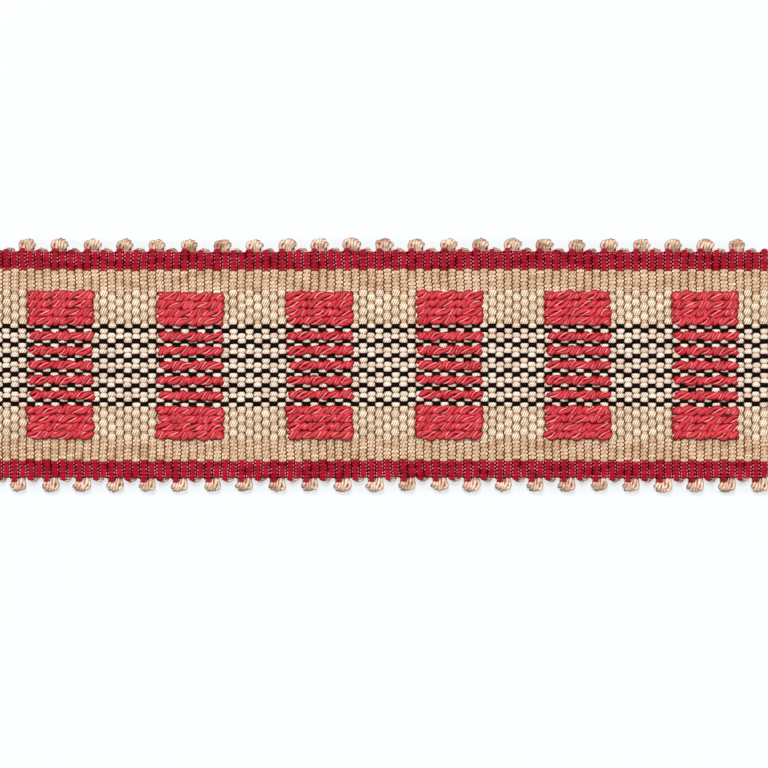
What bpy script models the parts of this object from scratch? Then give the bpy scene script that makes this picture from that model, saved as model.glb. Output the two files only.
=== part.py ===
"""Woven furnishing braid: a ribbed band with picot borders and raised yarn blocks.

A cut length lying flat, face up. X runs along the braid, Y across it and Z is its thickness.
The origin is the middle of the underside. Lengths are metres.
"""
import math

import bmesh
import bpy
from mathutils import Vector

MM = 0.001

# Driving dimensions
REPEAT = 25.4 * MM              # length of one repeat: one block and one gap
REPEATS = 6
RIBS_PER_REPEAT = 16
HALF_WIDTH = 22.85 * MM         # centre line to the red edge
PICOT_REACH = 25.4 * MM         # centre line to the crown of a picot
BORDER_WIDTH = 3.95 * MM        # red border, measured to the red edge
GAP = 0.3 * MM                  # between neighbouring solids

# Heights above the surface the braid lies on
TROUGH_Z = 1.5 * MM             # between two ribs
CREST_Z = 2.1 * MM              # along a rib
PAD_BASE_Z = CREST_Z + GAP      # underside of the raised yarn
PAD_VALLEY_Z = 2.7 * MM         # between two raised rows
PAD_CREST_Z = 3.2 * MM          # along a raised row
PAD_END_Z = 2.95 * MM           # where a raised row turns down at its two ends

# Raised yarn, across the braid
ROW_PITCH_SINGLE = 2.906 * MM   # single rows, parted by the pin rows
SINGLE_ROWS = 5
FIRST_PAD_ROW = 8.8 * MM        # centre line to the innermost row of a pad
ROW_PITCH_PAD = 1.65 * MM       # rows that lie against each other
PAD_ROWS = 4
ROW_WIDTH = 1.5 * MM
TWISTS_PER_ROW = 5              # turns of the two-ply yarn that show along a block
TWIST_SWAY = 0.2 * MM           # sideways lean of the crest in each turn
FACETS_PER_ROW = 3              # slope, crest, slope across one row

# Picots, the loops that the weft cord makes outside the edge
CORD_DIAMETER = 1.5 * MM
PICOT_WIDTH = 3.5 * MM
PICOT_LEAN = 0.28 * MM          # each loop leans this far towards -X of its two ribs
PICOT_ROOT_DEPTH = 1.2 * MM     # how far the cord runs back inside the edge
PICOT_ROOT_Z = 0.85 * MM        # middle of the cord where it leaves the border
PICOT_CROWN_LIFT = 0.3 * MM     # the crown of a loop lies this much higher than its sides
PICOT_RIB_SPACING = 4           # ribs from one picot to the next
RIB_BEFORE_FIRST_PICOT = {"far": 3, "near": 2}
PICOT_ARC_STEPS = 6

# How far the end of each rib stands back from the red edge, counted from a picot's own rib
RIB_END_SETBACK = (0.0, 0.4 * MM, 0.45 * MM, 0.75 * MM)
TROUGH_END_SETBACK = 0.25 * MM  # extra, in the trough between two rib ends

GROUND_STEPS = 4                # facets along the profile of one rib
BORDER_STEPS = 3
FLAT_ANGLE = math.radians(0.5)  # faces closer than this to one plane become one face
SHARP_ANGLE = math.radians(50)  # edges steeper than this stay sharp when shaded

LENGTH = REPEAT * REPEATS
RIBS = RIBS_PER_REPEAT * REPEATS
RIB_PITCH = REPEAT / RIBS_PER_REPEAT
BLOCK_LENGTH = REPEAT / 2
X_START = -LENGTH / 2
BORDER_INNER = HALF_WIDTH - BORDER_WIDTH


def remove_scene_objects():
    for item in list(bpy.data.objects):
        bpy.data.objects.remove(item, do_unlink=True)


def new_collection(name):
    collection = bpy.data.collections.new(name)
    bpy.context.scene.collection.children.link(collection)
    return collection


def yarn_material(name, color, roughness):
    material = bpy.data.materials.new(name)
    material.use_nodes = True
    shader = material.node_tree.nodes["Principled BSDF"]
    shader.inputs["Base Color"].default_value = (*color, 1.0)
    shader.inputs["Roughness"].default_value = roughness
    shader.inputs["Metallic"].default_value = 0.0
    return material


def rib_height(station, steps):
    """Height of the ribbed face at a station, with this many stations to a rib."""
    rise = math.sin(math.pi * (station % steps) / steps) ** 0.6
    return TROUGH_Z + (CREST_Z - TROUGH_Z) * rise


def relief_slab(name, columns, rows, surface, base_z, material, collection):
    """A closed slab: a grid shaped by surface(column, row), on a flat underside at base_z."""
    shape = bmesh.new()
    bmesh.ops.create_grid(shape, x_segments=columns, y_segments=rows, size=0.5)
    for vert in shape.verts:
        column = round((vert.co.x + 0.5) * columns)
        row = round((vert.co.y + 0.5) * rows)
        vert.co = surface(column, row)
    rim = [edge for edge in shape.edges if edge.is_boundary]
    skirt = bmesh.ops.extrude_edge_only(shape, edges=rim)
    for element in skirt["geom"]:
        if isinstance(element, bmesh.types.BMVert):
            element.co.z = base_z
    open_edges = [edge for edge in shape.edges if edge.is_boundary]
    bmesh.ops.holes_fill(shape, edges=open_edges, sides=0)
    bmesh.ops.dissolve_limit(shape, angle_limit=FLAT_ANGLE, verts=shape.verts, edges=shape.edges)
    bmesh.ops.recalc_face_normals(shape, faces=shape.faces)

    mesh = bpy.data.meshes.new(name)
    shape.to_mesh(mesh)
    shape.free()
    mesh.shade_smooth()
    mesh.set_sharp_from_angle(angle=SHARP_ANGLE)
    mesh.materials.append(material)
    slab = bpy.data.objects.new(name, mesh)
    collection.objects.link(slab)
    return slab


def ground_band(material, collection):
    """The beige band between the borders, ribbed across, cut plain at both ends."""
    half = BORDER_INNER - GAP / 2

    def surface(column, row):
        x = X_START + RIB_PITCH * column / GROUND_STEPS
        y = -half + 2 * half * row
        return Vector((x, y, rib_height(column, GROUND_STEPS)))

    return relief_slab("ground_band", RIBS * GROUND_STEPS, 1, surface, 0.0, material, collection)


def rib_end(side, rib):
    """Distance from the centre line to the red end of one rib."""
    place = (rib - RIB_BEFORE_FIRST_PICOT[side]) % PICOT_RIB_SPACING
    return HALF_WIDTH - RIB_END_SETBACK[place]


def red_edge(side, column):
    """Distance from the centre line to the scalloped edge at a station of the border."""
    rib, step = divmod(column, BORDER_STEPS)
    if step:
        return rib_end(side, rib)
    beside = (max(rib - 1, 0), min(rib, RIBS - 1))
    return min(rib_end(side, near) for near in beside) - TROUGH_END_SETBACK


def picot_loops(side, sign, collection):
    """All the loops of one edge as one mesh, with their feet inside the border."""
    radius = CORD_DIAMETER / 2
    arc_x = PICOT_WIDTH / 2 - radius
    crown_y = PICOT_REACH - radius
    centre_y = crown_y - arc_x
    foot_y = HALF_WIDTH - PICOT_ROOT_DEPTH
    foot_x = RIB_PITCH / 2
    cord = bpy.data.curves.new("picots_" + side, "CURVE")
    cord.dimensions = "3D"
    cord.bevel_depth = radius
    cord.bevel_resolution = 0
    cord.use_fill_caps = True
    for rib in range(RIB_BEFORE_FIRST_PICOT[side], RIBS - 1, PICOT_RIB_SPACING):
        middle = X_START + RIB_PITCH * (rib + 1)
        route = [Vector((middle - foot_x, sign * foot_y, PICOT_ROOT_Z))]
        for step in range(PICOT_ARC_STEPS + 1):
            turn = math.pi * step / PICOT_ARC_STEPS
            x = middle - PICOT_LEAN - arc_x * math.cos(turn)
            y = sign * (centre_y + arc_x * math.sin(turn))
            z = PICOT_ROOT_Z + PICOT_CROWN_LIFT * math.sin(turn)
            route.append(Vector((x, y, z)))
        route.append(Vector((middle + foot_x, sign * foot_y, PICOT_ROOT_Z)))
        spline = cord.splines.new("POLY")
        spline.points.add(len(route) - 1)
        for point, place in zip(spline.points, route):
            point.co = (*place, 1.0)
    curve_object = bpy.data.objects.new("picot_route_" + side, cord)
    collection.objects.link(curve_object)
    evaluated = curve_object.evaluated_get(bpy.context.evaluated_depsgraph_get())
    mesh = bpy.data.meshes.new_from_object(evaluated)
    bpy.data.objects.remove(curve_object, do_unlink=True)
    shape = bmesh.new()
    shape.from_mesh(mesh)
    bmesh.ops.remove_doubles(shape, verts=shape.verts, dist=0.001 * MM)
    bmesh.ops.recalc_face_normals(shape, faces=shape.faces)
    shape.to_mesh(mesh)
    shape.free()
    loops = bpy.data.objects.new("picot_loops_" + side, mesh)
    loops.hide_render = True
    loops.display_type = "WIRE"
    collection.objects.link(loops)
    return loops


def picot_border(side, sign, material, collection, helpers):
    """One red border with a scalloped outer edge and the picots fused into it."""
    inner = BORDER_INNER + GAP / 2

    def surface(column, row):
        x = X_START + RIB_PITCH * column / BORDER_STEPS
        y = inner if row == 0 else red_edge(side, column)
        return Vector((x, sign * y, rib_height(column, BORDER_STEPS)))

    name = "picot_border_" + side
    border = relief_slab(name, RIBS * BORDER_STEPS, 1, surface, 0.0, material, collection)
    union = border.modifiers.new("fuse_picots", "BOOLEAN")
    union.operation = "UNION"
    union.solver = "EXACT"
    union.object = picot_loops(side, sign, helpers)
    return border


def raised_rows(name, x_start, row_centres, material, collection):
    """Raised yarn rows that lie against each other, each with the lean of its twist."""
    stations = 2 * TWISTS_PER_ROW
    half = ROW_WIDTH / 2
    between = [(low + high) / 2 for low, high in zip(row_centres, row_centres[1:])]
    seams = [row_centres[0] - half, *between, row_centres[-1] + half]

    def surface(column, row):
        x = x_start + BLOCK_LENGTH * column / stations
        row_index, place = divmod(row, FACETS_PER_ROW)
        if place == 0:
            return Vector((x, seams[row_index], PAD_VALLEY_Z))
        lean = TWIST_SWAY if column % 2 else -TWIST_SWAY
        shoulder = -half / 2 if place == 1 else half / 2
        z = PAD_END_Z if column in (0, stations) else PAD_CREST_Z
        return Vector((x, row_centres[row_index] + shoulder + lean, z))

    rows = FACETS_PER_ROW * len(row_centres)
    return relief_slab(name, stations, rows, surface, PAD_BASE_Z, material, collection)


def raised_block(block, material, collection):
    """The single rows and the two pads of one block."""
    x_start = X_START + BLOCK_LENGTH / 2 + REPEAT * block
    for row in range(SINGLE_ROWS):
        centre = (row - SINGLE_ROWS // 2) * ROW_PITCH_SINGLE
        name = f"block_{block + 1}_row_{row + 1}"
        raised_rows(name, x_start, [centre], material, collection)
    pad = [FIRST_PAD_ROW + ROW_PITCH_PAD * row for row in range(PAD_ROWS)]
    raised_rows(f"block_{block + 1}_pad_far", x_start, pad, material, collection)
    near_pad = [-centre for centre in reversed(pad)]
    raised_rows(f"block_{block + 1}_pad_near", x_start, near_pad, material, collection)


def main():
    remove_scene_objects()
    braid = new_collection("braid_trim")
    helpers = new_collection("braid_trim_cutters")
    beige = yarn_material("beige_cotton", (0.56, 0.35, 0.22), 0.75)
    crimson = yarn_material("crimson_viscose", (0.31, 0.02, 0.03), 0.55)
    coral = yarn_material("coral_viscose", (0.55, 0.07, 0.08), 0.6)
    ground_band(beige, braid)
    picot_border("far", 1, crimson, braid, helpers)
    picot_border("near", -1, crimson, braid, helpers)
    for block in range(REPEATS):
        raised_block(block, coral, braid)


main()
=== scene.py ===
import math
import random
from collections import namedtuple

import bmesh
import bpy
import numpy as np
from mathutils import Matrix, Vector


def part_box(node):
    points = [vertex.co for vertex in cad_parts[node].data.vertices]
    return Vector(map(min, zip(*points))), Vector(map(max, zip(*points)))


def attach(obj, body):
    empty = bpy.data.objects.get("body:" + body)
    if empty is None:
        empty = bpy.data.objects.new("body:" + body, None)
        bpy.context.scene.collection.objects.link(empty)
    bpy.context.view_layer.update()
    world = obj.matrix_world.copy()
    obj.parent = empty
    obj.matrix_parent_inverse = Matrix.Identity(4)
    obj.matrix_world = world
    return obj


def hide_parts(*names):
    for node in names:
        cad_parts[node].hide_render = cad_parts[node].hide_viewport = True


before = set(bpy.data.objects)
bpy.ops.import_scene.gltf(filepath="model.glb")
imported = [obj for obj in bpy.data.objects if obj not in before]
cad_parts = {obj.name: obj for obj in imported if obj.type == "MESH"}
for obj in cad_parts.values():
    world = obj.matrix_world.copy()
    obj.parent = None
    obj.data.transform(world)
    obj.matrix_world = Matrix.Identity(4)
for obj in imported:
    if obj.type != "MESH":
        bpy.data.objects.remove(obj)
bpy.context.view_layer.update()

# %% [markdown]
# # A woven braid trim with picot edges
# A furnishing braid is a narrow cloth made on a ribbon loom. Its ribs are the turns of one thick
# weft cord. Thinner warp ends run along the braid and dip over one rib and under the next, so each
# rib is wrapped in colour. The frame holds the size of the braid and the place of its raised rows.
# The script could fake the weave with a bump map on a flat band, but here every yarn is a mesh of
# its own, because the ribs, beads and loops all show, also from the side.

MM = 0.001
random.seed(7)

# %% [markdown]
# ## Sizes
# All lengths below are millimetres, and MM turns them into metres when a mesh is written. The rib
# pitch, the width of the ground and the places of the blocks could be typed in again, but they are
# read from the frame's own nodes, so the yarns land on the solids that they stand for.

# %% Ribs and bands
REPEATS = 6
RIBS_PER_REPEAT = 16
RIBS = REPEATS * RIBS_PER_REPEAT
BORDER_WIDTH = 3.95
STRIPE_WIDTH = 4.25
MID_Z = 1.2
WEFT_RADIUS = 0.62
SIDES = (("far", 1), ("near", -1))


def box_mm(node):
    """The lowest and highest corner of a node of the frame, in millimetres."""
    low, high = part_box(node)
    return np.array(low) / MM, np.array(high) / MM


ground_low, ground_high = box_mm("ground_band")
border_low, _ = box_mm("picot_border_far")
X_START = ground_low[0]
RIB = (ground_high[0] - ground_low[0]) / RIBS
BORDER_INNER = (ground_high[1] + border_low[1]) / 2
RED_EDGE = BORDER_INNER + BORDER_WIDTH
FINE_INNER = BORDER_INNER - STRIPE_WIDTH
print(f"rib pitch {RIB:.4f} mm, ground to {BORDER_INNER:.2f} mm, red edge at {RED_EDGE:.2f} mm")

# %% Pairs of black ends, on both sides of every single raised row
SINGLE_ROWS = 5
PAIRS = SINGLE_ROWS + 1
BEADS_BEYOND_PAIR = 0.97
row_boxes = [box_mm(f"block_1_row_{row}") for row in range(1, SINGLE_ROWS + 1)]
row_centres = [(low[1] + high[1]) / 2 for low, high in row_boxes]
PAIR_PITCH = (row_centres[-1] - row_centres[0]) / (SINGLE_ROWS - 1)
pair_centres = [PAIR_PITCH * (index - (PAIRS - 1) / 2) for index in range(PAIRS)]
BEADS_INNER = pair_centres[-1] + BEADS_BEYOND_PAIR
print(f"pairs {PAIR_PITCH:.2f} mm apart, outer beads from {BEADS_INNER:.2f} mm")

# %% [markdown]
# ## Hand of the cloth
# No woven thing is perfectly regular: the beat of the loom and the pull of each yarn shift the
# crossings a little. Each yarn could be moved at random, but then neighbours would cut through
# each other. One smooth field of a few waves moves every yarn by a few tenths of a millimetre at
# most, so the weft, the warp ends and the raised rows drift together and never part.

# %% A shared field of small shifts
Wave = namedtuple("Wave", "size per_x per_y phase")
ALONG_WAVES = (
    Wave(0.05, 0.11, 0.83, 1.0),
    Wave(0.04, -0.23, 1.9, 0.0),
    Wave(0.05, 0.071, 0.31, 2.4),
    Wave(0.25, 1 / 28, 0.0, 30 / 28),
)
ACROSS_WAVES = (Wave(0.07, 0.067, 0.0, 0.8), Wave(0.05, 0.19, 0.35, 2.0))
ALONG_SHIFT = -0.05


def drift(x, y):
    """How far the cloth is pulled off its even grid at a place, along and across, in millimetres."""
    along, across = (
        sum(w.size * np.sin(w.per_x * x + w.per_y * y + w.phase) for w in waves)
        for waves in (ALONG_WAVES, ACROSS_WAVES)
    )
    return along + ALONG_SHIFT, across


edge_drift = drift(np.linspace(X_START, -X_START, RIBS), RED_EDGE)
print("drift of the far edge, along and across:",
      [f"{d.min():.2f} to {d.max():.2f} mm" for d in edge_drift])

# %% [markdown]
# The two long edges aren't straight either. The weft turns back at the edge, and a snug turn pulls
# its two ribs in, while a rib that carries a picot stands out. The ends near the edge follow the
# ribs in and out, so the pull fades from the red edge inwards.

# %% How far each rib stands back
# One value for each rib of a picot's repeat, from the first of the two ribs that it joins.
SETBACK = {"far": (-0.15, 0.17, 0.15, 0.45), "near": (-0.15, 0.65, 0.2, 0.65)}
FIRST_PICOT_RIB = {"far": 3, "near": 2}
PICOT_RIB_SPACING = 4
# Across a rib the setback is level between these two parts, and it changes between two ribs.
LEVEL_PART_OF_RIB = (0.22, 0.78)
PULL_INNER = 19.3
TIP_ROUNDING = 0.22


def rib_setback(side, rib):
    """How far the red end of a rib stands back from the red edge."""
    return SETBACK[side][(rib - FIRST_PICOT_RIB[side]) % PICOT_RIB_SPACING]


RIB_KNOTS = np.array([rib + part for rib in range(RIBS) for part in LEVEL_PART_OF_RIB])
SETBACK_KNOTS = {
    side: np.array([rib_setback(side, rib) for rib in range(RIBS) for _ in LEVEL_PART_OF_RIB])
    for side in SETBACK
}


def edge_pull(ribs_along, y):
    """Shift of the yarns near an edge, which follow their ribs in and round off each red tip."""
    side = "far" if y > 0 else "near"
    depth = min(max((abs(y) - PULL_INNER) / (RED_EDGE - PULL_INNER), 0.0), 1.0)
    from_crown = 2 * np.abs(ribs_along % 1 - 0.5)
    pull = depth ** 2 * np.interp(ribs_along, RIB_KNOTS, SETBACK_KNOTS[side])
    return -math.copysign(1, y) * (pull + depth ** 6 * TIP_ROUNDING * from_crown ** 2)


far_pull = -edge_pull(np.linspace(0, RIBS, 20 * RIBS), RED_EDGE)
print(f"the far edge stands back by {far_pull.min():.2f} to {far_pull.max():.2f} mm")

# %% [markdown]
# ## How a yarn is made
# A yarn could be a curve with a round bevel, but the warp ends are flat where they wrap a rib and
# narrow where they cross, so their section changes all the way along. Here a yarn starts as a flat
# grid from bmesh. The grid is rolled around the yarn's line, its long seam is welded, and its two
# ends are closed. The grid's own UV map survives the rolling. Its U becomes millimetres along the
# yarn and its V the turn around it, which the materials use for twist and fibre.


# %% Directions along a line
def unit(vectors):
    """The vectors at length 1."""
    return vectors / np.linalg.norm(vectors, axis=1)[:, None]


def run_along(line):
    """Millimetres from the start of a line to each of its points."""
    return np.concatenate([[0], np.cumsum(np.linalg.norm(np.diff(line, axis=0), axis=1))])


def level_sides(line):
    """Side vectors that stay level, so that a section's first point is always its top."""
    return unit(np.cross(np.gradient(line, axis=0), (0.0, 0.0, 1.0)))


# %% Roll a grid into a yarn
def add_yarn(shape, line, width, height, sides, across, swell=None, marks=None):
    """Adds one closed yarn to a bmesh. width and height are its section at each point of its line.

    swell changes the section's size around the yarn, and marks puts a value on each station.
    """
    count = len(line)
    across = np.broadcast_to(across, (count, 3))
    upward = np.cross(across, unit(np.gradient(line, axis=0)))
    strip = bmesh.new()
    strip.loops.layers.uv.new("yarn")
    bmesh.ops.create_grid(strip, x_segments=count - 1, y_segments=sides, size=0.5, calc_uvs=True)
    mesh = bpy.data.meshes.new("strip")
    strip.to_mesh(mesh)
    strip.free()

    # The grid runs from -0.5 to 0.5: its x gives the station, its y the turn around the yarn.
    flat = np.empty(len(mesh.vertices) * 3)
    mesh.vertices.foreach_get("co", flat)
    flat = flat.reshape(-1, 3)
    at = np.rint((flat[:, 0] + 0.5) * (count - 1)).astype(int)
    turn = 2 * math.pi * np.rint((flat[:, 1] + 0.5) * sides) / sides
    size = np.ones(len(at)) if swell is None else swell(turn)
    wide = size * np.broadcast_to(width, count)[at] / 2 * np.sin(turn)
    tall = size * np.broadcast_to(height, count)[at] / 2 * np.cos(turn)
    rolled = line[at] + across[at] * wide[:, None] + upward[at] * tall[:, None]
    mesh.vertices.foreach_set("co", (rolled * MM).ravel())

    layer = mesh.uv_layers["yarn"].uv
    uv = np.empty(len(layer) * 2)
    layer.foreach_get("vector", uv)
    uv = uv.reshape(-1, 2)
    uv[:, 0] = run_along(line)[np.rint(uv[:, 0] * (count - 1)).astype(int)]
    layer.foreach_set("vector", uv.ravel())
    if marks is not None:
        mesh.attributes.new("mark", "FLOAT", "POINT").data.foreach_set("value", marks[at])
    shape.from_mesh(mesh)
    bpy.data.meshes.remove(mesh)


# %% Weld, close and name a piece
WELD_MM = 0.0002
SHARP_DEGREES = 58


def finish_piece(shape, name, material, stands_for=()):
    """Welds the seams, closes the ends and makes the mesh a piece that rides on the frame."""
    bmesh.ops.remove_doubles(shape, verts=shape.verts, dist=WELD_MM * MM)
    bmesh.ops.holes_fill(shape, edges=[e for e in shape.edges if e.is_boundary], sides=0)
    bmesh.ops.recalc_face_normals(shape, faces=shape.faces)
    mesh = bpy.data.meshes.new(name)
    shape.to_mesh(mesh)
    shape.free()
    mesh.shade_smooth()
    mesh.set_sharp_from_angle(angle=math.radians(SHARP_DEGREES))
    mesh.materials.append(material)
    piece = bpy.data.objects.new(name, mesh)
    bpy.context.scene.collection.objects.link(piece)
    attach(piece, "root")
    if stands_for:
        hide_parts(*stands_for)
    mesh.calc_loop_triangles()
    print(f"{name}: {len(mesh.loop_triangles)} triangles")
    return piece


# %% [markdown]
# ## Materials
# Yarns are fibres with a twist. Cotton is matt with a fine grain. Viscose and mercerised cotton
# shine along the fibre. A picture of yarn could be wrapped around each mesh, but it would repeat
# and blur. Each material here mixes two close tones with a noise stretched along the braid, and
# raises the twist and the fibres as a small bump. The twist reads the yarn's own UV map, so it
# follows every bend.


# %% Colour and node helpers
def srgb(hex_code):
    """The linear colour of an sRGB hex code, as a four-part tuple."""
    parts = [int(hex_code[i:i + 2], 16) / 255 for i in (1, 3, 5)]
    linear = [v / 12.92 if v <= 0.04045 else ((v + 0.055) / 1.055) ** 2.4 for v in parts]
    return (*linear, 1.0)


def add_node(tree, kind, settings=(), inputs=(), links=()):
    """Adds a node, sets its properties and inputs, and links (input, source socket) pairs."""
    node = tree.nodes.new(kind)
    for name, value in dict(settings).items():
        setattr(node, name, value)
    for name, value in dict(inputs).items():
        node.inputs[name].default_value = value
    for name, source in dict(links).items():
        tree.links.new(source, node.inputs[name])
    return node


# %% [markdown]
# Single fibres are too fine to show, so the grain stands for small tufts of them, about 1 mm long
# and 0.4 mm thick. Patches three times as large stand for places where a yarn is a little thicker
# or has taken the dye better. The plies of a yarn wind around it as bands with a painted highlight
# along each ply and painted shade in the grooves between them.

# %% Fibres and plies
GRAINS_PER_MM = (0.9, 2.6, 2.6)
PATCHES_PER_MM = (0.3, 0.9, 0.3)


def fibre_noise(tree, place, per_mm, detail):
    """Noise with so many flecks a millimetre along, across and upwards."""
    spread = add_node(tree, "ShaderNodeMapping", inputs={"Scale": [n / MM for n in per_mm]},
                      links={"Vector": place.outputs["Object"]})
    return add_node(tree, "ShaderNodeTexNoise", inputs={"Scale": 1.0, "Detail": detail},
                    links={"Vector": spread.outputs["Vector"]})


def ply_bands(tree, place, patch, plies, twist_mm, fray):
    """1 on each ply and 0 in the grooves between them. The patches fray the bands a little."""
    twist = add_node(tree, "ShaderNodeMapping", inputs={"Scale": (plies / twist_mm, plies, 1)},
                     links={"Vector": place.outputs["UV"]})
    parts = add_node(tree, "ShaderNodeSeparateXYZ", links={"Vector": twist.outputs["Vector"]})
    lean = add_node(tree, "ShaderNodeMath", {"operation": "ADD"},
                    links={0: parts.outputs["X"], 1: parts.outputs["Y"]})
    loose = add_node(tree, "ShaderNodeMath", {"operation": "MULTIPLY_ADD"}, {1: fray / math.pi},
                     {0: patch.outputs["Fac"], 2: lean.outputs[0]})
    angle = add_node(tree, "ShaderNodeMath", {"operation": "MULTIPLY"}, {1: 2 * math.pi},
                     {0: loose.outputs[0]})
    wave = add_node(tree, "ShaderNodeMath", {"operation": "COSINE"}, links={0: angle.outputs[0]})
    return add_node(tree, "ShaderNodeMapRange", inputs={"From Min": -1.0, "From Max": 0.3},
                    links={"Value": wave.outputs[0]})


# %% [markdown]
# A yarn is darker on its flanks and where it dips between two ribs, because its own fibres shade
# it there. The renderer could find these shadows by itself, but light also leaks through real
# fibres and takes on their colour, so this shade is painted in a deep tone of each yarn's own.
# Where a warp end turns down at the side of its rib it catches the light, and a small glint is
# painted there.

# %% Light and shade on a yarn
# The painted glint lies this many ribs from the middle of the rib, give or take its reach.
SHOULDER_STEP = 0.335
SHOULDER_REACH = 0.04


def facing_up(tree, place):
    """1 on the top and the bottom of a yarn and -1 on its two flanks."""
    around = add_node(tree, "ShaderNodeSeparateXYZ", links={"Vector": place.outputs["UV"]})
    turn = add_node(tree, "ShaderNodeMath", {"operation": "MULTIPLY"}, {1: 4 * math.pi},
                    {0: around.outputs["Y"]})
    return add_node(tree, "ShaderNodeMath", {"operation": "COSINE"}, links={0: turn.outputs[0]})


def out_of_painted_shade(tree, place, deep_mm, shaded_mm):
    """Painted shade by height: 0 at the height where the yarn lies deepest in the cloth, and 1 in
    the open.
    """
    height = add_node(tree, "ShaderNodeSeparateXYZ", links={"Vector": place.outputs["Object"]})
    from_deep = add_node(tree, "ShaderNodeMath", {"operation": "SUBTRACT"}, {1: deep_mm * MM},
                         {0: height.outputs["Z"]})
    distance = add_node(tree, "ShaderNodeMath", {"operation": "ABSOLUTE"},
                        links={0: from_deep.outputs[0]})
    return add_node(tree, "ShaderNodeMapRange", {"interpolation_type": "SMOOTHSTEP"},
                    {"From Min": shaded_mm[0] * MM, "From Max": shaded_mm[1] * MM},
                    {"Value": distance.outputs[0]})


def painted_shoulder_glint(tree, facing, patch, glint):
    """How much painted glint an end gets where it turns down, which the patches make uneven."""
    step = add_node(tree, "ShaderNodeAttribute", {"attribute_name": "mark"})
    shoulder = add_node(tree, "ShaderNodeMath", {"operation": "COMPARE"},
                        {1: SHOULDER_STEP, 2: SHOULDER_REACH}, {0: step.outputs["Fac"]})
    top = add_node(tree, "ShaderNodeMapRange", inputs={"From Min": 0.2, "From Max": 0.8},
                   links={"Value": facing.outputs[0]})
    spot = add_node(tree, "ShaderNodeMath", {"operation": "MULTIPLY"},
                    links={0: shoulder.outputs[0], 1: top.outputs["Result"]})
    uneven = add_node(tree, "ShaderNodeMapRange",
                      inputs={"From Min": 0.38, "From Max": 0.64, "To Max": glint},
                      links={"Value": patch.outputs["Fac"]})
    return add_node(tree, "ShaderNodeMath", {"operation": "MULTIPLY"},
                    links={0: spot.outputs[0], 1: uneven.outputs["Result"]})


# %% One material for any yarn
# Most of Blender's noise lies in this range.
NOISE_LOW, NOISE_HIGH = 0.35, 0.65


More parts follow.
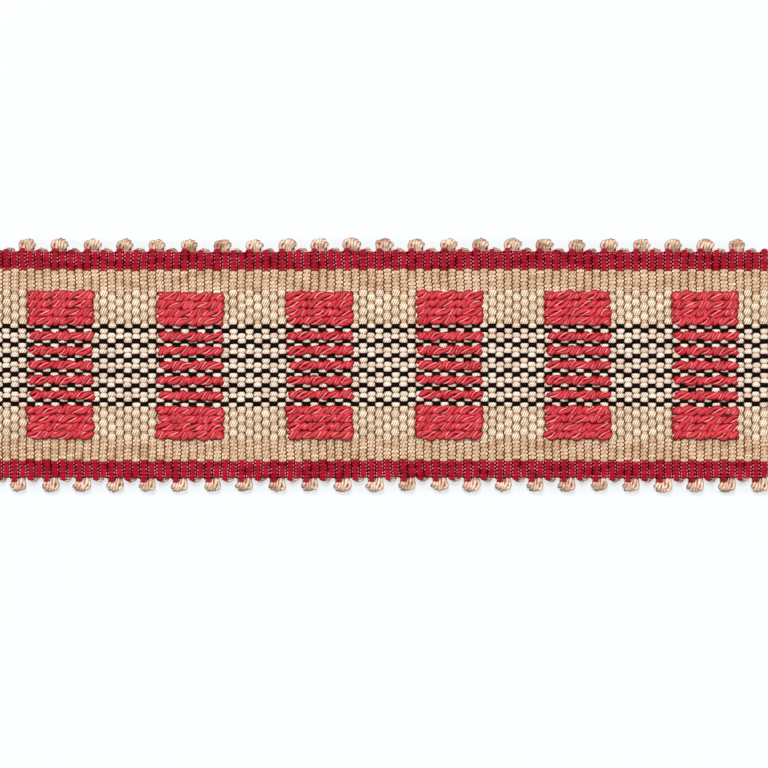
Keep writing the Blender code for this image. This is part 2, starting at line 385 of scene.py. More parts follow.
def yarn_material(name, low, high, deep, plies, twist_mm, roughness, groove_shade=0.35,
                  bump_mm=0.05, fleck=0.35, shaded_mm=(0.25, 0.9), fray=1.5,
                  specular=0.5, flank_shade=0.2, flank_shade_range=(-0.9, 0.5), stripe=0.0,
                  gleam="#FFFFFF", glint=0.0, deep_mm=MID_Z):
    """A twisted yarn. Its colour goes from low to high by its fibres, and by its plies as far as
    stripe says. Grooves, flanks and places deep in the cloth get painted shade in the deep tone.
    shaded_mm says how far from deep_mm that shade starts to fade and where it ends. gleam tints
    its shine and is the colour of the painted glints.
    """
    material = bpy.data.materials.new(name)
    material.use_nodes = True
    tree = material.node_tree
    shader = tree.nodes["Principled BSDF"]
    shader.inputs["Roughness"].default_value = roughness
    shader.inputs["IOR"].default_value = 1.5
    shader.inputs["Specular Tint"].default_value = srgb(gleam)
    place = add_node(tree, "ShaderNodeTexCoord")
    grain = fibre_noise(tree, place, GRAINS_PER_MM, 3.0)
    patch = fibre_noise(tree, place, PATCHES_PER_MM, 2.0)
    ply = ply_bands(tree, place, patch, plies, twist_mm, fray)
    facing = facing_up(tree, place)
    unshaded = out_of_painted_shade(tree, place, deep_mm, shaded_mm)

    flecked = add_node(tree, "ShaderNodeMath", {"operation": "MULTIPLY_ADD"}, {1: fleck},
                       {0: grain.outputs["Fac"], 2: patch.outputs["Fac"]})
    fibres = add_node(tree, "ShaderNodeMapRange",
                      inputs={"From Min": NOISE_LOW * (1 + fleck),
                              "From Max": NOISE_HIGH * (1 + fleck)},
                      links={"Value": flecked.outputs[0]})
    tone = add_node(tree, "ShaderNodeMix", inputs={"Factor": stripe},
                    links={"A": fibres.outputs["Result"], "B": ply.outputs["Result"]})
    colour = add_node(tree, "ShaderNodeMix", {"data_type": "RGBA"},
                      {"A": srgb(low), "B": srgb(high)}, {"Factor": tone.outputs["Result"]})

    # Painted shade: grooves, flanks and places deep in the cloth turn the colour toward the deep
    # tone.
    out_of_groove = add_node(tree, "ShaderNodeMapRange", inputs={"To Min": 1.0 - groove_shade},
                             links={"Value": ply.outputs["Result"]})
    off_flank = add_node(tree, "ShaderNodeMapRange",
                         inputs={"From Min": flank_shade_range[0], "From Max": flank_shade_range[1],
                                 "To Min": 1.0 - flank_shade},
                         links={"Value": facing.outputs[0]})
    outside = add_node(tree, "ShaderNodeMath", {"operation": "MULTIPLY"},
                       links={0: out_of_groove.outputs["Result"], 1: off_flank.outputs["Result"]})
    lit = add_node(tree, "ShaderNodeMath", {"operation": "MULTIPLY"},
                   links={0: outside.outputs[0], 1: unshaded.outputs["Result"]})
    shaded = add_node(tree, "ShaderNodeMix", {"data_type": "RGBA"}, {"A": srgb(deep)},
                      {"Factor": lit.outputs[0], "B": colour.outputs["Result"]})
    # Painted glints on the shoulders of the warp ends, in the gleam colour.
    painted_glints = painted_shoulder_glint(tree, facing, patch, glint)
    finished = add_node(tree, "ShaderNodeMix", {"data_type": "RGBA"}, {"B": srgb(gleam)},
                        {"Factor": painted_glints.outputs[0], "A": shaded.outputs["Result"]})
    tree.links.new(finished.outputs["Result"], shader.inputs["Base Color"])

    # The shine is turned down in the painted shade as well.
    shine = add_node(tree, "ShaderNodeMath", {"operation": "MULTIPLY"}, {1: specular},
                     {0: unshaded.outputs["Result"]})
    tree.links.new(shine.outputs[0], shader.inputs["Specular IOR Level"])
    relief = add_node(tree, "ShaderNodeMath", {"operation": "MULTIPLY_ADD"}, {1: 0.5},
                      {0: grain.outputs["Fac"], 2: ply.outputs["Result"]})
    bump = add_node(tree, "ShaderNodeBump", inputs={"Strength": 0.6, "Distance": bump_mm * MM},
                    links={"Height": relief.outputs[0]})
    tree.links.new(bump.outputs["Normal"], shader.inputs["Normal"])
    print(f"{name}: {plies} plies, a full twist in {twist_mm} mm")
    return material


# %% Cotton yarns
# The third colour of each yarn is its painted shade.
# Mercerised cotton: creamy, with a soft lustre on the crown of each bead.
BEAD_COTTON = yarn_material(
    "mercerised_cotton_beads", "#8C5E30", "#F8E6CA", "#522402", plies=4, twist_mm=1.7,
    roughness=0.4, groove_shade=0.4, shaded_mm=(0.55, 0.88), flank_shade=0.15, stripe=0.6)
# The same cotton, bleached a shade lighter, for the ends between the pin rows.
CHECK_COTTON = yarn_material(
    "mercerised_cotton_bleached", "#A87648", "#FFF4E2", "#562404", plies=4, twist_mm=1.7,
    roughness=0.4, groove_shade=0.4, shaded_mm=(0.55, 0.9), flank_shade=0.35, flank_shade_range=(-0.7, 0.6),
    stripe=0.6)
# Plain cotton: the fine ends of the beige stripes are a shade deeper, with fibres that show.
# They get painted glints where they turn down.
FINE_COTTON = yarn_material(
    "cotton_fine_ends", "#8C6340", "#E6C6A4", "#6E380A", plies=2, twist_mm=1.2,
    roughness=0.4, groove_shade=0.35, fleck=1.3, shaded_mm=(0.5, 0.85), flank_shade=0.5,
    flank_shade_range=(-0.6, 0.8), stripe=0.35, gleam="#FFF2E0", glint=0.75)
# Cotton weft: a hard twisted cord, seen as a tan gap between two beads.
WEFT_COTTON = yarn_material(
    "cotton_weft_cord", "#BE9262", "#E0BA8C", "#6E3A0C", plies=3, twist_mm=1.6,
    roughness=0.5, shaded_mm=(0.0, 0.45))
# The same cord where it opens into its plies at the edge: cream, with painted shade that turns it
# brown low down and on the flanks of its plies.
OPEN_COTTON = yarn_material(
    "cotton_weft_cord_open", "#946648", "#F4D6BC", "#68381E", plies=3, twist_mm=3.6,
    roughness=0.45, groove_shade=0.1, bump_mm=0.02, deep_mm=0.0, shaded_mm=(0.1, 1.6), flank_shade=0.9,
    flank_shade_range=(-0.6, 1.0), stripe=0.1, gleam="#FFF2E8")
# Black cotton: dyed right through and matt, so it stays nearly black in full light.
PIN_COTTON = yarn_material(
    "black_cotton_pins", "#0A0202", "#160A0A", "#040000", plies=2, twist_mm=1.4,
    roughness=0.6, specular=0.03)

# %% Viscose, roving and rayon
# Here too the third colour of each yarn is its painted shade.
# Viscose: the border's smooth yarn is deep crimson, with painted pink glints where it turns down.
CRIMSON_VISCOSE = yarn_material(
    "crimson_viscose", "#7A061A", "#B2142E", "#460006", plies=2, twist_mm=1.2,
    roughness=0.45, groove_shade=0.2, fleck=1.3, shaded_mm=(0.5, 0.88), specular=0.1, flank_shade=0.3,
    gleam="#FFC0C6", glint=0.55)
# Soft roving: the thick yarn of the raised rows is loose and velvety, with hardly any twist.
CORAL_ROVING = yarn_material(
    "coral_roving", "#8E0418", "#FA545F", "#86000C", plies=9, twist_mm=40.0,
    roughness=0.5, groove_shade=0.45, bump_mm=0.2, shaded_mm=(0.75, 1.75), specular=0.18, flank_shade=0.9,
    flank_shade_range=(-0.6, 0.9), stripe=0.5, gleam="#FFC8CC")
# Rayon thread: fine and bright, it is laid in with the roving.
PINK_RAYON = yarn_material(
    "pink_rayon_thread", "#F87874", "#FFB4B0", "#A02038", plies=2, twist_mm=0.6,
    roughness=0.3, shaded_mm=(0.55, 1.3), gleam="#FFD0D0")
# The roving of the floats on the back, pressed flat and open to the air below.
BACK_ROVING = yarn_material(
    "coral_roving_pressed", "#A8122A", "#FF5A68", "#6E0016", plies=9, twist_mm=40.0,
    roughness=0.6, groove_shade=0.35, bump_mm=0.12, flank_shade=0.4, stripe=0.4)

# %% [markdown]
# ## The weft cord
# One thick cord runs back and forth across the braid and makes a rib at each pass. It hardly
# shows: only in the beaded stripes does its tan surface lie open between two beads. It could be
# left out, but then there would be holes to see through. The passes are plain round yarns, and
# their turns at the edge follow later. They are the body of the cloth.

# %% Weft passes
WEFT_SWOLLEN = 0.75
WEFT_SQUEEZED = 0.5
WEFT_END_INSET = 0.55
WEFT_STATIONS = 24


def weft_radius(y):
    """The cord is squeezed thin by the tight borders and swells a little between the beads."""
    places = (BEADS_INNER, BEADS_INNER + 0.5, FINE_INNER - 0.5, FINE_INNER, BORDER_INNER,
              BORDER_INNER + 0.2)
    radii = (WEFT_RADIUS, WEFT_SWOLLEN, WEFT_SWOLLEN, WEFT_RADIUS, WEFT_RADIUS, WEFT_SQUEEZED)
    return np.interp(np.abs(y), places, radii)


def weft_passes():
    """One round yarn a rib, from inside one red edge to inside the other."""
    shape = bmesh.new()
    for rib in range(RIBS):
        ends = {side: RED_EDGE - rib_setback(side, rib) - WEFT_END_INSET for side in SETBACK}
        y = np.linspace(-ends["near"], ends["far"], WEFT_STATIONS)
        x = np.full(len(y), X_START + RIB * (rib + 0.5))
        along, across = drift(x, y)
        line = np.stack([x + along, y + across, np.full(len(y), MID_Z)], axis=1)
        width = 2 * weft_radius(y)
        add_yarn(shape, line, width, width, 8, level_sides(line))
    return finish_piece(shape, "weft_cord", WEFT_COTTON, ["ground_band"])


weft = weft_passes()

# %% [markdown]
# ## Warp ends
# A warp end is over every second rib and under the others. Seen from above it is a row of beads:
# wide and flat on a rib, narrow where it dips between two ribs. Ends that are next to each other
# are over opposite ribs, so their beads interlock like bricks. Each bead could be a mesh of its
# own, but then the dips between them would gape. So the line of an end is worked out rib by rib
# from a rounded wave, with more stations where it shows than where it is hidden.

# %% The walk of a warp end over and under the ribs
# Ribs are counted from 1 in words and from 0 in the loops, so rib 0 is an odd rib.
ODD_RIBS = 0
EVEN_RIBS = 1
OVER_STEPS = np.array((-0.5, -0.43, -0.3, 0.0, 0.3, 0.43, 0.5))
UNDER_STEPS = np.array((-0.3, 0.3))
CUT_STEP = 0.4


def across_ribs(over):
    """Places along the braid in ribs, steps from the rib's middle, and +1 over or -1 under it."""
    places, steps, faces = [], [], []
    for rib in range(RIBS):
        is_over = rib % 2 == over
        for step in OVER_STEPS if is_over else UNDER_STEPS:
            places.append(rib + 0.5 + step)
            steps.append(abs(step))
            faces.append(1 if is_over else -1)
    # One of its two cuts falls on a rib that it passes under, and needs a station of its own.
    cut_place = 0.0 if over == EVEN_RIBS else float(RIBS)
    at = 0 if over == EVEN_RIBS else len(places)
    for values, value in ((places, cut_place), (steps, CUT_STEP), (faces, -1)):
        values.insert(at, value)
    return np.array(places), np.array(steps), np.array(faces)


RIB_WALKS = {over: across_ribs(over) for over in (ODD_RIBS, EVEN_RIBS)}
print(f"a warp end has {len(RIB_WALKS[EVEN_RIBS][0])} stations")

# %% [markdown]
# An End says where one yarn lies across the braid: at its base it dips, at its tip it comes up, and
# at its crown it lies on the rib. Where beads spread until they touch, the three differ a little. A
# Wrap says how a kind of yarn lies on a rib. Its rise and its fullness are given at the steps in
# STEP_COLUMNS, from the crown to the dip.

# %% One warp end
STEP_COLUMNS = np.array((0.0, 0.3, 0.43, 0.5))
PRESS_IN = 0.02
CROSSING_SWELL = 0.25
WOBBLE = 0.02
End = namedtuple("End", "base tip crown width over")
Wrap = namedtuple("Wrap", "cross_width thickness sides rise fullness")


def add_warp_end(shape, end, wrap, swell=None):
    """One end along the whole braid. Its bead slides from its base past its tip to its crown."""
    places, steps, faces = RIB_WALKS[end.over]
    rise = np.interp(steps, STEP_COLUMNS, wrap.rise)
    fullness = np.interp(steps, STEP_COLUMNS, wrap.fullness)
    slide = np.interp(steps, STEP_COLUMNS, (end.crown, end.crown, end.tip, end.base))
    x = X_START + RIB * places
    y = np.where(faces > 0, slide, end.base) + edge_pull(places, end.base)
    along, across = drift(x, y)
    lift = WEFT_RADIUS + wrap.thickness / 2 - PRESS_IN
    wobble = WOBBLE * np.sin(places * 2.1 + end.base * 7.0)
    line = np.stack([x + along, y + across + wobble, MID_Z + lift * rise * faces], axis=1)
    width = wrap.cross_width + (end.width - wrap.cross_width) * fullness
    height = wrap.thickness * (1 + CROSSING_SWELL * (1 - fullness))
    add_yarn(shape, line, width, height, wrap.sides, (0.0, -1.0, 0.0), swell, steps)


# %% [markdown]
# ## Red borders and fine beige stripes
# Along both edges lies a border of fine crimson ends, and inside it a stripe of fine beige ones.
# Both are set so close that the weft is hidden. Eleven ends make a border and eleven a stripe. A
# ribbed strip with a bump would look alike from above, but the tips of the red ribs show from the
# side, so these too are single ends.

# %% Fine ends
FINE_ENDS = 11
LAST_CROWN = 0.2
CROWN_SPREAD = 2.7
FIRST_OVER = {"far": EVEN_RIBS, "near": ODD_RIBS}
BORDER_WRAP = Wrap(0.33, 0.28, 6, (1.0, 0.94, 0.72, 0.0), (1.0, 0.62, 0.34, 0.0))
STRIPE_WRAP = Wrap(0.36, 0.28, 6, (1.0, 0.94, 0.72, 0.0), (1.0, 0.66, 0.44, 0.0))
Band = namedtuple("Band", "inner outer inner_bow outer_bow wrap")
BORDER = Band(BORDER_INNER, RED_EDGE - LAST_CROWN, -0.13, 0.1, BORDER_WRAP)
STRIPE = Band(FINE_INNER, BORDER_INNER, 0.0, -0.13, STRIPE_WRAP)


def fine_ends(name, sign, first_over, band, material, stands_for=()):
    """A band of ends. Their crowns bow a little, so that the colours meet in small arches."""
    pitch = (band.outer - band.inner) / FINE_ENDS
    shape = bmesh.new()
    for index in range(FINE_ENDS):
        base = sign * (band.inner + pitch * (index + 0.5))
        share = index / (FINE_ENDS - 1)
        crown = base + sign * (band.inner_bow + (band.outer_bow - band.inner_bow) * share)
        over = (first_over + index) % 2
        add_warp_end(shape, End(base, base, crown, CROWN_SPREAD * pitch, over), band.wrap)
    return finish_piece(shape, name, material, stands_for)


cloth = []
for side, sign in SIDES:
    first_over = FIRST_OVER[side]
    cloth.append(fine_ends(f"crimson_border_{side}", sign, first_over, BORDER, CRIMSON_VISCOSE,
                           [f"picot_border_{side}"]))
    cloth.append(fine_ends(f"beige_stripe_{side}", sign, 1 - first_over, STRIPE, FINE_COTTON))

# %% [markdown]
# ## Beaded stripes and pin rows
# The middle of the braid is woven from thicker cream ends, whose beads are as long as a rib is
# wide. Six pairs of black ends run through it. In a pair the upper end is over the even ribs and
# the lower one over the odd ribs, which makes a row of staggered dashes, a pin row. Four cream ends
# lie between two pairs. Their beads spread until they touch, so each slides off its base. The
# dashes could be painted on cream beads, but each is a bead of black yarn and is built as one.

# %% Cream and black ends
PIN_ENDS = (End(0.24, 0.40, 0.41, 1.20, EVEN_RIBS), End(-0.24, -0.40, -0.41, 1.20, ODD_RIBS))
CREAM_ENDS = (
    End(0.73, 0.42, 0.54, 1.16, ODD_RIBS),
    End(-0.73, -0.42, -0.56, 1.16, EVEN_RIBS),
    End(-1.21, -1.52, -1.33, 1.16, ODD_RIBS),
    End(-1.69, -1.74, -1.62, 1.16, EVEN_RIBS),
)
PIN_WRAP = Wrap(0.46, 0.38, 8, (1.0, 0.93, 0.75, 0.0), (1.0, 1.0, 0.95, 0.0))
CHECK_WRAP = Wrap(0.47, 0.38, 8, (1.0, 0.92, 0.72, 0.0), (1.0, 0.85, 0.55, 0.0))
TWIN_FURROW = 0.16


def twin(turn):
    """A shallow furrow along the top and bottom, where two yarns lie side by side."""
    return 1 - TWIN_FURROW * np.cos(turn) ** 8


def shifted(end, centre):
    """The same end, moved across the braid to its pair."""
    return end._replace(base=end.base + centre, tip=end.tip + centre, crown=end.crown + centre)


def pin_rows():
    """Six pairs of black ends. Each is two yarns side by side."""
    shape = bmesh.new()
    for centre in pair_centres:
        for end in PIN_ENDS:
            add_warp_end(shape, shifted(end, centre), PIN_WRAP, twin)
    return finish_piece(shape, "black_pin_rows", PIN_COTTON)


def check_beads():
    """Four cream ends to a pair. At the pair by the near edge, only the two that touch it."""
    shape = bmesh.new()
    for centre in pair_centres:
        ends = CREAM_ENDS[:2] if centre == pair_centres[0] else CREAM_ENDS
        for end in ends:
            add_warp_end(shape, shifted(end, centre), CHECK_WRAP)
    return finish_piece(shape, "cream_check_beads", CHECK_COTTON)


cloth.append(pin_rows())
cloth.append(check_beads())

# %% Coarse beads between the pin rows and the stripes
OUTER_ENDS = 7
OUTER_SPREAD = 1.66
OUTER_WRAP = Wrap(0.84, 0.36, 8, (1.0, 0.95, 0.78, 0.0), (1.0, 0.92, 0.7, 0.0))


def outer_beads(side, sign):
    """Seven cream ends, set far enough apart for the weft to show between their beads."""
    pitch = (FINE_INNER - BEADS_INNER) / OUTER_ENDS
    shape = bmesh.new()
    for index in range(OUTER_ENDS):
        base = sign * (FINE_INNER - pitch * (index + 0.5))
        over = (FIRST_OVER[side] + index) % 2
        add_warp_end(shape, End(base, base, base, OUTER_SPREAD * pitch, over), OUTER_WRAP)
    return finish_piece(shape, f"cream_beads_{side}", BEAD_COTTON)


for side, sign in SIDES:
    cloth.append(outer_beads(side, sign))

# %% [markdown]
# ## Picots and edge turns
# At the edge the weft cord turns back into the next rib. At every second turn it is left long and
# its own twist curls it into a small loop, a picot. The others are pulled snug and show as a
# cream arc. A picot could be one bent tube, but the loose cord opens into its plies, and these
# give it its look. So each ply is a route of a few points. One curls around a pin hole, one passes
# inside it, and three go up behind the loop, over its rim and down its front like the ribs of a
# shell. The rest of the cord lies flat behind them and closes the gaps between them.

# %% Routes of the plies of a picot
# The points are given one by one. Each is along from between the two ribs, outward from the red
# edge, height above the table, and the ply's width there, in millimetres.
CURL_PLY = (
    (-1.00, -1.30, 1.2, 0.60), (-1.12, 0.10, 1.3, 0.80), (-1.27, 0.70, 1.4, 0.86),
    (-1.14, 1.26, 1.5, 0.85), (-0.74, 1.54, 1.6, 0.85), (-0.34, 1.34, 1.5, 0.75),
    (-0.20, 0.90, 1.1, 0.50),
)
INNER_PLY = (
    (-0.70, -1.30, 1.2, 0.60), (-0.62, 0.20, 1.7, 0.80), (-0.42, 0.75, 1.8, 0.70),
    (-0.20, 1.30, 1.9, 0.80), (-0.14, 1.68, 1.4, 0.90), (-0.25, 1.66, 1.1, 0.70),
    (-0.72, 0.80, 1.1, 0.60),
)
# The flat ply lies low, so its painted shade turns it brown in the gaps between the round plies.
FLAT_PLY = (
    (-0.80, -1.10, 0.8, 1.3), (-0.74, 0.45, 1.0, 1.4), (-0.30, 0.95, 0.9, 1.5),
    (0.50, 1.05, 0.6, 1.6), (1.00, 0.40, 0.9, 1.4), (0.95, -1.10, 1.0, 1.3),
)
ShellPly = namedtuple("ShellPly", "rim_u rim_v front_u front_v foot_u")
SHELL_PLIES = (
    ShellPly(0.50, 1.78, 0.20, 1.00, 0.15),
    ShellPly(1.18, 1.60, 0.78, 0.90, 0.55),
    ShellPly(1.66, 1.02, 1.26, 0.45, 0.95),
)
# The height of a ply as a share of its width.
FLATTENED, ROUNDED = 0.3, 0.8


def shell_route(ply):
    """Up behind the loop, over the rim where it is widest, and down the front to the next rib."""
    return (
        (-0.85, -1.30, 1.0, 0.45),
        (-0.85, 0.60, 0.5, 0.70),
        (ply.rim_u * 0.7, ply.rim_v * 0.8, 0.5, 0.80),
        (ply.rim_u, ply.rim_v, 0.95, 1.05),
        ((ply.rim_u + ply.front_u) / 2, (ply.rim_v + ply.front_v) / 2 + 0.15, 1.55, 0.95),
        (ply.front_u, ply.front_v, 1.75, 0.78),
        (ply.foot_u, 0.05, 1.5, 0.58),
        (ply.foot_u, -1.30, 1.1, 0.45),
    )


ROUND_PLIES = [CURL_PLY, INNER_PLY, *(shell_route(ply) for ply in SHELL_PLIES)]
PICOT_ROUTES = [(FLAT_PLY, FLATTENED), *((route, ROUNDED) for route in ROUND_PLIES)]
print(f"a picot has {len(ROUND_PLIES)} round plies and a flat one")


# %% Smooth a route and move it to its ribs
def smooth_route(points, count):
    """A Catmull-Rom curve through the points, with evenly spaced stations."""
    knots = np.array([points[0], *points, points[-1]], float)
    pieces = []
    for a, b, c, d in zip(knots, knots[1:], knots[2:], knots[3:]):
        t = np.linspace(0, 1, 12, endpoint=False)[:, None]
        pieces.append(0.5 * (2 * b + (c - a) * t + (2 * a - 5 * b + 4 * c - d) * t ** 2
                             + (3 * b - a - 3 * c + d) * t ** 3))
    curve = np.concatenate([*pieces, knots[-1:]])
    along = run_along(curve[:, :3])
    even = np.linspace(0, along[-1], count)
    columns = range(curve.shape[1])
    return np.stack([np.interp(even, along, curve[:, column]) for column in columns], axis=1)


def placed_route(sign, middle, points, size=1.0, lean=0.0):
    """A route moved to its two ribs, leaned a little and made a little larger or smaller."""
    u = points[:, 0] + lean * np.clip(points[:, 1], 0, None)
    v = points[:, 1] * np.where(points[:, 1] > 0, size, 1.0)
    x = middle + u
    y = sign * (RED_EDGE + v)
    along, across = drift(x, y)
    return np.column_stack([x + along, y + across, points[:, 2:]])


# %% Picots
PICOT_STATIONS = 24
# Each loop is this much narrower than its routes are drawn.
PICOT_SPAN = 0.94
PLY_STRAY = 0.08


def picot_loops(side, sign):
    """Far picots curl at their left rib and fan out to the right one, near picots the other way."""
    shape = bmesh.new()
    stray = np.random.default_rng(11)
    for rib in range(FIRST_PICOT_RIB[side], RIBS - 1, PICOT_RIB_SPACING):
        middle = X_START + RIB * (rib + 1)
        size = random.uniform(0.93, 1.07)
        lean = random.uniform(-0.12, 0.12)
        for route, flatness in PICOT_ROUTES:
            points = np.array(route)
            points[1:-1, :3] += stray.uniform(-PLY_STRAY, PLY_STRAY, (len(points) - 2, 3))
            points[:, 0] *= sign * PICOT_SPAN * size
            placed = placed_route(sign, middle, points, size, lean)
            stations = smooth_route(placed, PICOT_STATIONS)
            line, width = stations[:, :3], stations[:, 3]
            add_yarn(shape, line, width, flatness * width, 6, level_sides(line))
    return finish_piece(shape, f"picots_{side}", OPEN_COTTON)


# %% [markdown]
# A snug turn is a short arc of the cord, and only its outer side shows. Its plies could have routes
# of their own, as in a picot, but two plies wound around one arc already look like the same cord.

# %% Edge turns
TURN_PLIES = 2
TURN_PLY_WIDTH = 0.46
TURN_OFFSET = 0.19
TURN_TWIST_MM = 2.4
TURN_STATIONS = 14
TURN_REACH = {"far": 0.04, "near": 0.08}


def carried_sides(line):
    """Side vectors that follow a line without twisting about it, and the line's directions."""
    tangents = unit(np.gradient(line, axis=0))
    side = np.cross(tangents[0], (0.0, 0.0, 1.0))
    sides = []
    for tangent in tangents:
        side = side - tangent * np.dot(side, tangent)
        side = side / np.linalg.norm(side)
        sides.append(side)
    return np.array(sides), tangents


def add_plied_cord(shape, line, twist_mm, start):
    """Winds plies around a line. Each ply is one yarn of the shape."""
    across, tangents = carried_sides(line)
    upward = np.cross(across, tangents)
    along = run_along(line)
    for ply in range(TURN_PLIES):
        turn = start + 2 * math.pi * (ply / TURN_PLIES + along / twist_mm)
        out = across * np.cos(turn)[:, None] + upward * np.sin(turn)[:, None]
        wound = line + TURN_OFFSET * out
        add_yarn(shape, wound, TURN_PLY_WIDTH, TURN_PLY_WIDTH, 5, level_sides(wound))


def edge_turns(side, sign):
    """The snug turns, each between two ribs that no picot joins."""
    shape = bmesh.new()
    first = (FIRST_PICOT_RIB[side] + 2) % PICOT_RIB_SPACING
    for rib in range(first, RIBS - 1, PICOT_RIB_SPACING):
        middle = X_START + RIB * (rib + 1)
        left, right = -rib_setback(side, rib), -rib_setback(side, rib + 1)
        top = max(left, right) + TURN_REACH[side]
        points = np.array((
            (-0.79, left - 1.3, 1.2), (-0.79, left - 0.5, 1.3), (-0.5, left + 0.1, 1.4),
            (0.0, top, 1.4), (0.5, right + 0.25, 1.3),
            (0.79, right - 0.5, 1.3), (0.79, right - 1.3, 1.2),
        ))
        line = smooth_route(placed_route(sign, middle, points), TURN_STATIONS)
        start = random.uniform(0, 2 * math.pi)
        add_plied_cord(shape, line, sign * TURN_TWIST_MM, start)
    return finish_piece(shape, f"edge_turns_{side}", OPEN_COTTON)


for side, sign in SIDES:
    cloth.append(picot_loops(side, sign))
    cloth.append(edge_turns(side, sign))

# %% [markdown]
# ## Raised rows
# The blocks are rows of a soft cord that floats over eight ribs and then dives under the cloth.
# The cord is two loose plies wound around each other, so it shows as leaf shaped lobes that lean
# one way. A sculpted ridge would show the lobes but not the gaps under them, so both plies are
# yarns that swing around one line. A flat core yarn between them keeps the light from passing
# through, and a fine bright thread lies in each of the two grooves.

# %% The line of a row
DIVE_MM = 0.9
ROW_ROOT_Z = 1.15
ROW_STATIONS = 48


def row_line(x_low, x_high, y, z_top, stations=ROW_STATIONS):
    """The middle of a floating row: up out of the cloth, level, and down into it again."""
    x = np.linspace(x_low, x_high, stations)
    edge = np.minimum(x - x_low, x_high - x)
    rise = np.sqrt(1 - (1 - np.clip(edge / DIVE_MM, 0, 1)) ** 2)
    return np.stack([x, np.full(len(x), y), ROW_ROOT_Z + (z_top - ROW_ROOT_Z) * rise], axis=1)


# %% Plies, core and threads of one row
# A swing is how far a yarn goes to each side, and how far up and down, as it winds around the row.
# The waves that make a row uneven have lengths that don't fit each other, so no row repeats.
PLY_WIDTH = 1.0
PLY_HEIGHT = 0.85
PLY_SWING = np.array((0.56, 0.3))
PLY_BULGE = 0.18
CORE_WIDTH = 1.4
CORE_HEIGHT = 0.5
CORE_STATIONS = 20
THREAD_WIDTH = 0.25
THREAD_SWING = np.array((0.6, 0.44))
THREAD_DIP = 0.22
LOBE_MM = 1.8
LOBE_UNEVENNESS = 0.8
SWING_UNEVENNESS = 0.25


def add_raised_row(plies, threads, x_low, x_high, y, z_top, fullness):
    """One row. Its plies and core go into one shape and its bright threads into another."""
    lobe = LOBE_MM * random.uniform(0.9, 1.1)
    start, wide = random.uniform(0, 2 * math.pi), random.uniform(0, 2 * math.pi)
    slope = random.uniform(-0.02, 0.005)
    full = fullness * random.uniform(0.96, 1.05)

    def wound(line, swing, phase, dip=0.0):
        """Winds a line around the row, and pulls it askew like the cloth around it."""
        run = line[:, 0] - x_low
        turn = start + phase + math.pi * run / lobe + LOBE_UNEVENNESS * np.sin(run * 1.15 + start)
        reach = 1 + SWING_UNEVENNESS * np.sin(1.3 * run + wide)
        line[:, 1] += slope * run + swing[0] * reach * np.sin(turn)
        line[:, 2] += swing[1] * np.cos(turn) - dip * (0.5 + 0.5 * np.sin(2.3 * run + 2 * phase))
        line[:, :2] += np.stack(drift(line[:, 0], line[:, 1]), axis=1)
        return line

    # The core lies low between the plies, where the painted shade of the roving makes it dark
    # crimson.
    core = row_line(x_low + 0.1, x_high - 0.1, y, z_top - PLY_SWING[1], CORE_STATIONS)
    core = wound(core, np.zeros(2), 0.0)
    add_yarn(plies, core, CORE_WIDTH * fullness, CORE_HEIGHT, 6, level_sides(core))
    for ply in (0, 1):
        line = wound(row_line(x_low, x_high, y, z_top), PLY_SWING, ply * math.pi)
        bulge = 1 + PLY_BULGE * np.sin(line[:, 0] * 2.1 + start + 2 * ply)
        add_yarn(plies, line, PLY_WIDTH * full * bulge, PLY_HEIGHT, 8, level_sides(line))
        line = wound(row_line(x_low + 0.05, x_high - 0.05, y, z_top), THREAD_SWING,
                     (ply + 0.5) * math.pi, THREAD_DIP)
        add_yarn(threads, line, THREAD_WIDTH, THREAD_WIDTH, 5, level_sides(line))


# %% [markdown]
# A block has five single rows between the pin rows, and a pad of four rows that lie against each
# other at each of its two ends. Its place comes from the frame's solids, which it replaces. The
# single rows sink a little between the pin rows, and the pads start a little earlier than they do.

# %% Six blocks
PAD_ROWS = 4
PAD_LEAD = 0.25
SINGLE_ROW_DROP = 0.2
SINGLE_ROW_FULLNESS = 0.92
ROW_CLEARANCE = 0.03
ROW_RISE = PLY_HEIGHT / 2 + PLY_SWING[1]
Row = namedtuple("Row", "left right y top fullness")


def pad_row_places(node):
    """Where the rows of a pad lie across the braid, from the near side on."""
    low, high = box_mm(node)
    pitch = (high[1] - low[1]) / PAD_ROWS
    return [low[1] + pitch * (row + 0.5) for row in range(PAD_ROWS)]


def raised_block(block):
    """All rows of a block, as one piece of roving and one of thread."""
    nodes = [f"block_{block}_row_{row}" for row in range(1, SINGLE_ROWS + 1)]
    rows = []
    for node in nodes:
        low, high = box_mm(node)
        top = high[2] - SINGLE_ROW_DROP
        rows.append(Row(low[0], high[0], (low[1] + high[1]) / 2, top, SINGLE_ROW_FULLNESS))
    for pad in (f"block_{block}_pad_far", f"block_{block}_pad_near"):
        nodes.append(pad)
        low, high = box_mm(pad)
        rows += [Row(low[0] - PAD_LEAD, high[0], y, high[2], 1.0) for y in pad_row_places(pad)]
    plies, threads = bmesh.new(), bmesh.new()
    for row in rows:
        x_low = row.left + random.uniform(0.15, 0.7)
        x_high = row.right + random.uniform(0.25, 0.6)
        z_top = row.top - ROW_RISE - ROW_CLEARANCE
        add_raised_row(plies, threads, x_low, x_high, row.y, z_top, row.fullness)
    return [
        finish_piece(plies, f"raised_block_{block}", CORAL_ROVING, nodes),
        finish_piece(threads, f"block_threads_{block}", PINK_RAYON),
    ]


for block in range(1, REPEATS + 1):
    cloth += raised_block(block)

# %% [markdown]
# ## Floats on the back
# Between two blocks the thick yarns run along the back, pressed flat. They show only when the
# braid is turned over. They could have the plies of the raised rows, but pressed under the cloth
# those hardly part, so they are plain flat yarns.

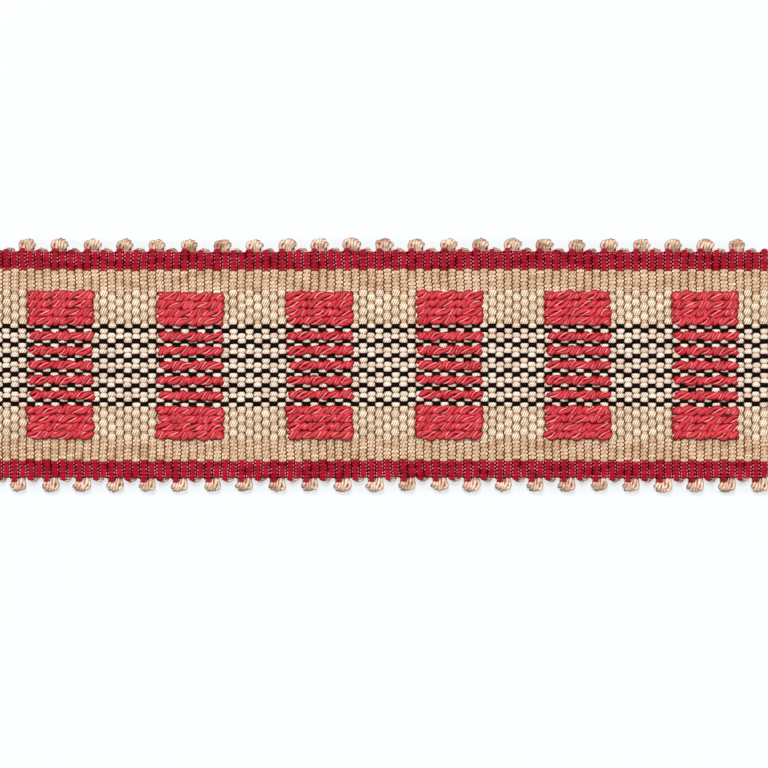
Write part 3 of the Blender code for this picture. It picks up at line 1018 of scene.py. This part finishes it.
# %% Back floats
FLOAT_Z = 0.26
FLOAT_WIDTH = 1.5
FLOAT_HEIGHT = 0.5
FLOAT_TUCK = 0.3
FLOAT_BEND_MM = 0.8
FLOAT_RISE = 0.5
FLOAT_STATIONS = 12


def back_floats():
    """Floats in every gap. In the two end gaps they run out to the cut and stay level."""
    shape = bmesh.new()
    rows = row_centres + pad_row_places("block_1_pad_far") + pad_row_places("block_1_pad_near")
    for gap in range(REPEATS + 1):
        left = X_START if gap == 0 else box_mm(f"block_{gap}_row_1")[1][0] - FLOAT_TUCK
        right = -X_START
        if gap < REPEATS:
            right = box_mm(f"block_{gap + 1}_row_1")[0][0] + FLOAT_TUCK
        for y in rows:
            x = np.linspace(left, right, FLOAT_STATIONS)
            edge = np.minimum(x - left, right - x)
            z = FLOAT_Z + FLOAT_RISE * (1 - np.clip(edge / FLOAT_BEND_MM, 0, 1)) ** 2
            if gap in (0, REPEATS):
                z = np.full(len(x), FLOAT_Z)
            along, across = drift(x, y)
            line = np.stack([x + along, y + across, z], axis=1)
            add_yarn(shape, line, FLOAT_WIDTH, FLOAT_HEIGHT, 8, (0.0, -1.0, 0.0))
    return finish_piece(shape, "back_floats", BACK_ROVING)


cloth.append(back_floats())

# %% [markdown]
# The braid is one sheet of cloth, laid flat. Each yarn could be declared as a cord, but none of
# them hangs or lies free, so every yarn rides on the frame's root, the weft with the rest. Its
# flat size is the braid's own size, because nothing is gathered or draped.

# %% The sheet
print(f"one sheet of {2 * RED_EDGE:.1f} x {RIBS * RIB:.1f} mm, with {len(cloth)} more pieces")

# %% [markdown]
# ## Floor, light and camera
# The braid lies on a plain white surface under soft light that comes mostly from beyond its far
# edge, so a faint shadow falls on the near side. A bare white floor would turn grey around the
# braid, so this one also glows a little, as a light table does. The camera looks straight down
# from far above through a long lens, so the two edges stay parallel.


# %% Floor
def light_table(name, colour, glow, strength):
    """Matt white acrylic, lit from below, so that shadows on it stay faint."""
    material = bpy.data.materials.new(name)
    material.use_nodes = True
    shader = material.node_tree.nodes["Principled BSDF"]
    shader.inputs["Base Color"].default_value = srgb(colour)
    shader.inputs["Roughness"].default_value = 0.9
    shader.inputs["Emission Color"].default_value = srgb(glow)
    shader.inputs["Emission Strength"].default_value = strength
    return material


table_top = bmesh.new()
bmesh.ops.create_grid(table_top, x_segments=1, y_segments=1, size=3.0)
floor_mesh = bpy.data.meshes.new("floor")
table_top.to_mesh(floor_mesh)
table_top.free()
floor_mesh.materials.append(light_table("lit_white_acrylic", "#787A7C", "#FAFDFF", 0.71))
floor = bpy.data.objects.new("floor", floor_mesh)
bpy.context.scene.collection.objects.link(floor)
print("floor:", [round(side, 2) for side in floor.dimensions], "m")

# %% Light
world = bpy.data.worlds.new("studio")
world.use_nodes = True
world.node_tree.nodes["Background"].inputs["Color"].default_value = srgb("#FBFCFF")
world.node_tree.nodes["Background"].inputs["Strength"].default_value = 0.3
bpy.context.scene.world = world


def soft_light(name, place, size, power):
    """A square area light at a place in metres, turned to the middle of the braid."""
    data = bpy.data.lights.new(name, "AREA")
    data.size = size
    data.energy = power
    light = bpy.data.objects.new(name, data)
    light.location = place
    light.rotation_euler = (-light.location).to_track_quat("-Z", "Y").to_euler()
    bpy.context.scene.collection.objects.link(light)
    print(f"{name} light: {power} W, {light.location.length:.2f} m away")


soft_light("key", (-0.1, 0.85, 1.75), 0.6, 38.5)
soft_light("left", (-0.9, 0.05, 0.5), 0.3, 3.3)
soft_light("right", (0.9, 0.05, 0.5), 0.3, 3.3)
bpy.context.scene.view_settings.view_transform = "Standard"

# %% Camera
VIEW_WIDTH = 151.4
VIEW_CENTRE = (0.29, -3.71)
CAMERA_HEIGHT = 1200
FOCUS_Z = 2
camera_data = bpy.data.cameras.new("camera")
camera_data.lens = camera_data.sensor_width * (CAMERA_HEIGHT - FOCUS_Z) / VIEW_WIDTH
camera_data.clip_start = 0.05
camera_data.clip_end = 10
camera = bpy.data.objects.new("camera", camera_data)
camera.location = (VIEW_CENTRE[0] * MM, VIEW_CENTRE[1] * MM, CAMERA_HEIGHT * MM)
bpy.context.scene.collection.objects.link(camera)
bpy.context.scene.camera = camera
print(f"lens of {camera_data.lens:.0f} mm, {CAMERA_HEIGHT} mm above the table")
